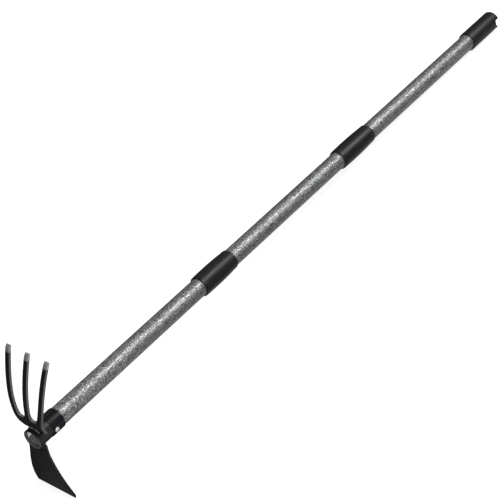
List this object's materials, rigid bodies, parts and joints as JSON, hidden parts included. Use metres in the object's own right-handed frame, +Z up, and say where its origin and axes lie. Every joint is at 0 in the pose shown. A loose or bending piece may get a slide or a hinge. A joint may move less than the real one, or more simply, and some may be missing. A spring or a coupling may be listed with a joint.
{
  "type": "hand cultivator",
  "caption": "Long-handled garden cultivator: steel head with hoe blade and tined rake on a hammered steel handle of tubes screwed together by black couplers, with a notched end cap.",
  "frame": {"origin": "centre of the bounding box on the ground under the tool, with the blade edge and the end cap resting on it", "axes": "+Y along the ground from the head to the grip end, +Z up with the tines up and the blade down, +X across the tines"},
  "size_m": [0.0656, 1.0587, 0.2068],
  "materials": {
    "black_paint": "satin",
    "bare_steel": "satin",
    "bright_steel": "gloss",
    "hammered_steel": "gloss",
    "black_plastic": "satin"
  },
  "bodies": {
    "lower_section": {"head_collar": "black_paint", "rake_fork": "black_paint", "hoe_blade": "black_paint", "fork_weld": "black_paint", "blade_weld": "black_paint", "tube_plug": "bare_steel", "ferrule": "black_plastic", "head_screw": "bright_steel", "lower_tube": "hammered_steel", "lower_stud": "bare_steel", "lower_stud_pin": "bare_steel"},
    "lower_ring": {"lower_coupler_ring": "black_paint"},
    "middle_section": {"lower_coupler_core": "bare_steel", "lower_coupler_sleeve": "black_plastic", "lower_coupler_rivet": "bare_steel", "middle_tube": "hammered_steel", "upper_stud": "bare_steel", "upper_stud_pin": "bare_steel"},
    "upper_ring": {"upper_coupler_ring": "black_paint"},
    "grip_section": {"upper_coupler_core": "bare_steel", "upper_coupler_sleeve": "black_plastic", "upper_coupler_rivet": "bare_steel", "upper_tube": "hammered_steel", "cap_ring": "black_paint", "end_cap": "black_plastic"}
  },
  "joints": [
    {"name": "lower_coupler_draw", "type": "slide", "parent": "lower_section", "child": "lower_ring", "axis": [0, 0.997, -0.0768], "range_m": [0, 0.0181]},
    {"name": "lower_coupler_turn", "type": "hinge", "parent": "lower_ring", "child": "middle_section", "pos_m": [0, -0.21801, 0.07216], "axis": [0, 0.997, -0.0768], "range_deg": [0, 2160]},
    {"name": "upper_coupler_draw", "type": "slide", "parent": "middle_section", "child": "upper_ring", "axis": [0, 0.997, -0.0768], "range_m": [0, 0.0181]},
    {"name": "upper_coupler_turn", "type": "hinge", "parent": "upper_ring", "child": "grip_section", "pos_m": [0, 0.09675, 0.04791], "axis": [0, 0.997, -0.0768], "range_deg": [0, 2160]}
  ],
  "couplings": [
    {"joint": "lower_coupler_draw", "follows": "lower_coupler_turn", "m_per_rad": 0.00047746},
    {"joint": "upper_coupler_draw", "follows": "upper_coupler_turn", "m_per_rad": 0.00047746}
  ]
}
